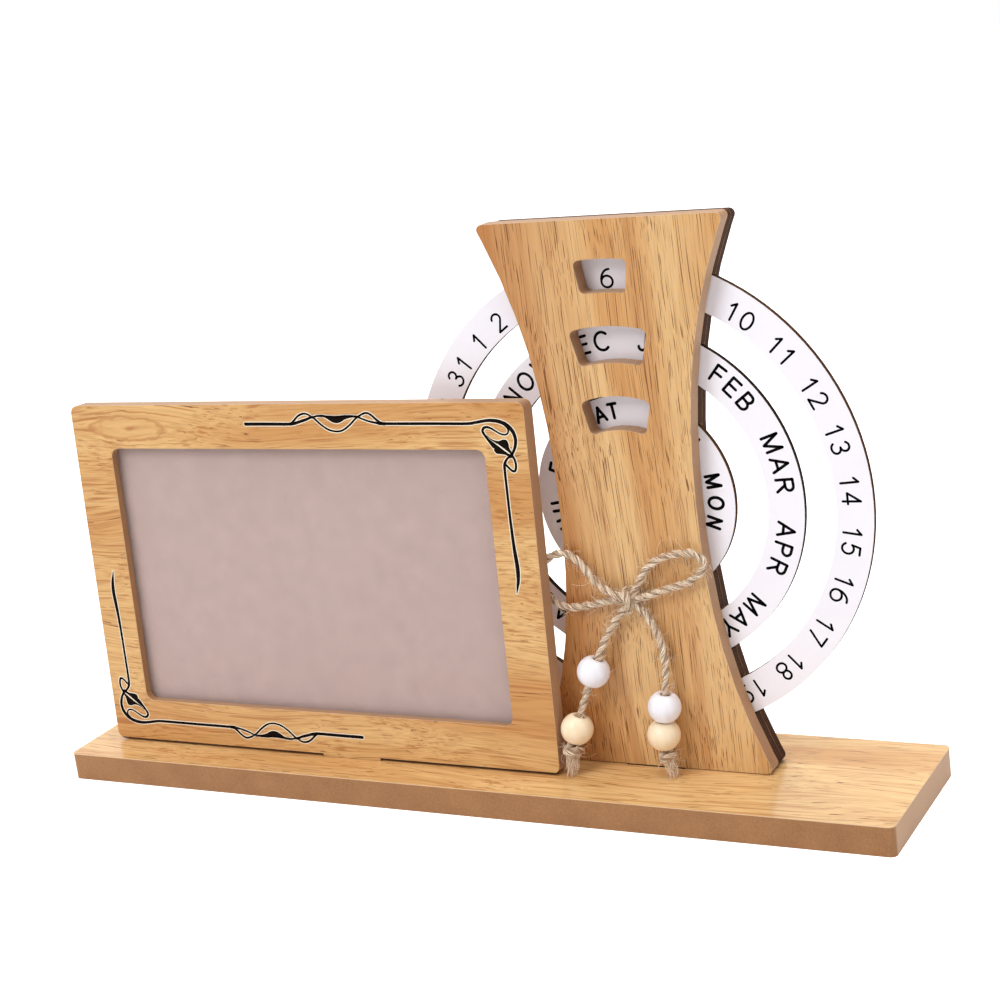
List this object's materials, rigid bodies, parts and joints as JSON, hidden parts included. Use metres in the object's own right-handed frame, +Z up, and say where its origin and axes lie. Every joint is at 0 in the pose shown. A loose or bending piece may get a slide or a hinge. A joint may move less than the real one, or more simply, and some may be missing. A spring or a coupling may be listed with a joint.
{
  "type": "perpetual desk calendar",
  "caption": "Perpetual desk calendar: an hourglass tower with three turning date rings behind windows, beside a leaning photo frame on one base board, with a beaded twine bow.",
  "frame": {"origin": "middle of the base board's underside", "axes": "+X along the base board to the viewer's right, +Y to the back of the calendar, +Z up"},
  "size_m": [0.3, 0.0604, 0.1848],
  "materials": {
    "laminated_board": "satin wood-grain laminate on MDF",
    "burnt_board": "laser-cut board, dark brown edges",
    "white_board": "white satin laminate on thin board",
    "clear_sheet": "clear gloss acrylic",
    "hardboard": "matt grey-brown hardboard",
    "plated_steel": "zinc plated",
    "jute_twine": "natural two-ply jute",
    "white_bead": "white satin paint",
    "natural_bead": "clear varnish"
  },
  "bodies": {
    "stand": {"base_board": "laminated_board", "frame_front": "laminated_board", "clear_sheet": "clear_sheet", "frame_back_board": "hardboard", "turn_screw_1": "plated_steel", "turn_screw_2": "plated_steel", "turn_screw_3": "plated_steel", "turn_screw_4": "plated_steel", "tower_front_plate": "laminated_board", "tower_back_plate": "burnt_board", "spacer_top": "burnt_board", "spacer_bottom": "burnt_board", "spacer_hub": "burnt_board", "spacer_weekday_month_upper": "burnt_board", "spacer_weekday_month_lower": "burnt_board", "spacer_month_date_upper": "burnt_board", "spacer_month_date_lower": "burnt_board", "twine_knot": "jute_twine", "twine_loop_left": "jute_twine", "twine_loop_right": "jute_twine", "twine_tail_left": "jute_twine", "twine_tail_right": "jute_twine", "twine_end_left": "jute_twine", "twine_end_right": "jute_twine", "bead_left_1": "white_bead", "bead_left_2": "natural_bead", "bead_right_1": "white_bead", "bead_right_2": "natural_bead"},
    "date_dial": {"date_ring": "white_board"},
    "month_dial": {"month_ring": "white_board"},
    "weekday_dial": {"weekday_ring": "white_board"},
    "button_top_left": {"turn_button_1": "plated_steel"},
    "button_top_right": {"turn_button_2": "plated_steel"},
    "button_bottom_left": {"turn_button_3": "plated_steel"},
    "button_bottom_right": {"turn_button_4": "plated_steel"}
  },
  "joints": [
    {"name": "date_turn", "type": "hinge", "parent": "stand", "child": "date_dial", "pos_m": [0.0638, 0.00565, 0.0965], "axis": [0, 1, 0], "continuous": true},
    {"name": "month_turn", "type": "hinge", "parent": "stand", "child": "month_dial", "pos_m": [0.0638, 0.00565, 0.0965], "axis": [0, 1, 0], "continuous": true},
    {"name": "weekday_turn", "type": "hinge", "parent": "stand", "child": "weekday_dial", "pos_m": [0.0638, 0.00565, 0.0965], "axis": [0, 1, 0], "continuous": true},
    {"name": "button_top_left_turn", "type": "hinge", "parent": "stand", "child": "button_top_left", "pos_m": [-0.102, -0.00221, 0.1251], "axis": [0, -0.9986, 0.0523], "range_deg": [0, 90]},
    {"name": "button_top_right_turn", "type": "hinge", "parent": "stand", "child": "button_top_right", "pos_m": [-0.002, -0.00221, 0.1251], "axis": [0, -0.9986, 0.0523], "range_deg": [0, 90]},
    {"name": "button_bottom_left_turn", "type": "hinge", "parent": "stand", "child": "button_bottom_left", "pos_m": [-0.102, -0.00797, 0.01525], "axis": [0, -0.9986, 0.0523], "range_deg": [0, 90]},
    {"name": "button_bottom_right_turn", "type": "hinge", "parent": "stand", "child": "button_bottom_right", "pos_m": [-0.002, -0.00797, 0.01525], "axis": [0, -0.9986, 0.0523], "range_deg": [0, 90]}
  ]
}
